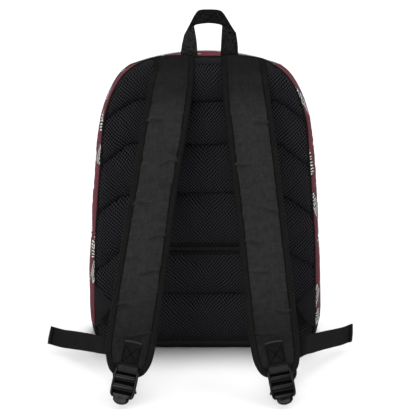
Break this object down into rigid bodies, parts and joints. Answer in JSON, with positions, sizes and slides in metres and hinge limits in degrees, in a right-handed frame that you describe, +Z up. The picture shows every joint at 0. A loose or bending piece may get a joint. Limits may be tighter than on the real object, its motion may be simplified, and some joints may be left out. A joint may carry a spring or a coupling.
{
  "type": "backpack",
  "caption": "Soft travel backpack with a quilted mesh back panel, zipped back pocket, curved shoulder straps with ladder locks and a webbing haul loop.",
  "frame": {"origin": "centre of the flat base the bag stands on", "axes": "+Z up, -Y towards the wearer (back panel and shoulder straps), +Y towards the front pocket, +X to the right as seen by someone facing the shoulder straps"},
  "size_m": [0.422, 0.3361, 0.4708],
  "materials": {
    "print_fabric": "woven polyester with an all-over abstract print",
    "plain_fabric": "plain dark woven polyester",
    "spacer_mesh": "black quilted spacer mesh with open cells",
    "strap_fabric": "dark grey woven polyester",
    "binding_tape": "black ribbed binding tape",
    "webbing": "black ribbed webbing",
    "liner_fabric": "thin dark lining",
    "foam": "closed-cell foam",
    "zip_tape": "black knitted tape",
    "zip_coil": "black nylon coil",
    "moulded_plastic": "satin black moulding",
    "slider_metal": "black painted zinc"
  },
  "bodies": {
    "bag": {"gusset_top_rear": "print_fabric", "gusset_top_front": "print_fabric", "gusset_side_right": "print_fabric", "gusset_side_left": "print_fabric", "gusset_bottom": "plain_fabric", "main_zip_tape": "zip_tape", "main_zip_coil": "zip_coil", "back_seam_binding": "binding_tape", "top_reinforcement": "plain_fabric", "back_bottom_band": "plain_fabric", "back_mesh_upper": "spacer_mesh", "back_mesh_lower": "spacer_mesh", "back_foam": "foam", "back_pocket_liner": "liner_fabric", "back_panel": "liner_fabric", "back_zip_tape": "zip_tape", "back_zip_coil": "zip_coil", "base_foam": "foam", "front_panel": "print_fabric", "front_seam_binding": "binding_tape", "front_pocket_panel": "print_fabric", "front_zip_tape": "zip_tape", "front_zip_coil": "zip_coil", "side_tab_left": "plain_fabric", "side_tab_right": "plain_fabric"},
    "haul_loop": {"haul_loop": "webbing"},
    "strap_left": {"strap_face_left": "strap_fabric", "strap_foam_left": "foam", "strap_mesh_left": "spacer_mesh", "strap_binding_left": "binding_tape", "strap_webbing_left": "webbing", "adjuster_strand_left": "webbing", "adjuster_tail_left": "webbing"},
    "ladder_lock_left": {"ladder_lock_left": "moulded_plastic", "adjuster_wrap_left": "webbing"},
    "strap_right": {"strap_face_right": "strap_fabric", "strap_foam_right": "foam", "strap_mesh_right": "spacer_mesh", "strap_binding_right": "binding_tape", "strap_webbing_right": "webbing", "adjuster_strand_right": "webbing", "adjuster_tail_right": "webbing"},
    "ladder_lock_right": {"ladder_lock_right": "moulded_plastic", "adjuster_wrap_right": "webbing"},
    "main_slider_right": {"main_slider_right": "slider_metal"},
    "main_pull_right": {"main_pull_right": "slider_metal"},
    "main_slider_left": {"main_slider_left": "slider_metal"},
    "main_pull_left": {"main_pull_left": "slider_metal"},
    "back_slider": {"back_slider": "slider_metal"},
    "back_pull": {"back_pull": "slider_metal"},
    "front_slider": {"front_slider": "slider_metal"},
    "front_pull": {"front_pull": "slider_metal"}
  },
  "joints": [
    {"name": "haul_loop_fold", "type": "hinge", "parent": "bag", "child": "haul_loop", "pos_m": [0.006, -0.057, 0.4116], "axis": [1, 0, 0], "range_deg": [-60, 85]},
    {"name": "strap_left_swing", "type": "hinge", "parent": "bag", "child": "strap_left", "pos_m": [-0.045, -0.0682, 0.397], "axis": [-1, 0, 0], "range_deg": [-8, 15]},
    {"name": "ladder_lock_left_pivot", "type": "hinge", "parent": "strap_left", "child": "ladder_lock_left", "pos_m": [-0.0969, -0.2554, 0.04349], "axis": [-0.9781, 0.0928, 0.1861], "range_deg": [0, 60]},
    {"name": "strap_right_swing", "type": "hinge", "parent": "bag", "child": "strap_right", "pos_m": [0.051, -0.0682, 0.397], "axis": [-1, 0, 0], "range_deg": [-8, 15]},
    {"name": "ladder_lock_right_pivot", "type": "hinge", "parent": "strap_right", "child": "ladder_lock_right", "pos_m": [0.0929, -0.2554, 0.04349], "axis": [-0.9816, -0.0851, -0.1708], "range_deg": [0, 60]},
    {"name": "main_slider_right_travel", "type": "hinge", "parent": "bag", "child": "main_slider_right", "pos_m": [0, 0.004, 0.117], "axis": [0, 1, 0], "range_deg": [0, 22.8]},
    {"name": "main_pull_right_flip", "type": "hinge", "parent": "main_slider_right", "child": "main_pull_right", "pos_m": [-0.01626, 0.0075, 0.41315], "axis": [0.9985, 0, 0.0548], "range_deg": [0, 110]},
    {"name": "main_slider_left_travel", "type": "hinge", "parent": "bag", "child": "main_slider_left", "pos_m": [0, 0.004, 0.117], "axis": [0, -1, 0], "range_deg": [0, 14.2]},
    {"name": "main_pull_left_flip", "type": "hinge", "parent": "main_slider_left", "child": "main_pull_left", "pos_m": [-0.02802, 0.0075, 0.41227], "axis": [0.9955, 0, 0.0945], "range_deg": [0, 110]},
    {"name": "back_slider_travel", "type": "slide", "parent": "bag", "child": "back_slider", "axis": [1, 0, 0], "range_m": [0, 0.19]},
    {"name": "back_pull_flip", "type": "hinge", "parent": "back_slider", "child": "back_pull", "pos_m": [-0.1025, -0.0681, 0.1445], "axis": [0, 0, -1], "range_deg": [0, 90]},
    {"name": "front_slider_travel", "type": "slide", "parent": "bag", "child": "front_slider", "axis": [-1, 0, 0], "range_m": [0, 0.175]},
    {"name": "front_pull_flip", "type": "hinge", "parent": "front_slider", "child": "front_pull", "pos_m": [0.0915, 0.0484, 0.24], "axis": [0, 0.0629, -0.998], "range_deg": [0, 90]}
  ]
}
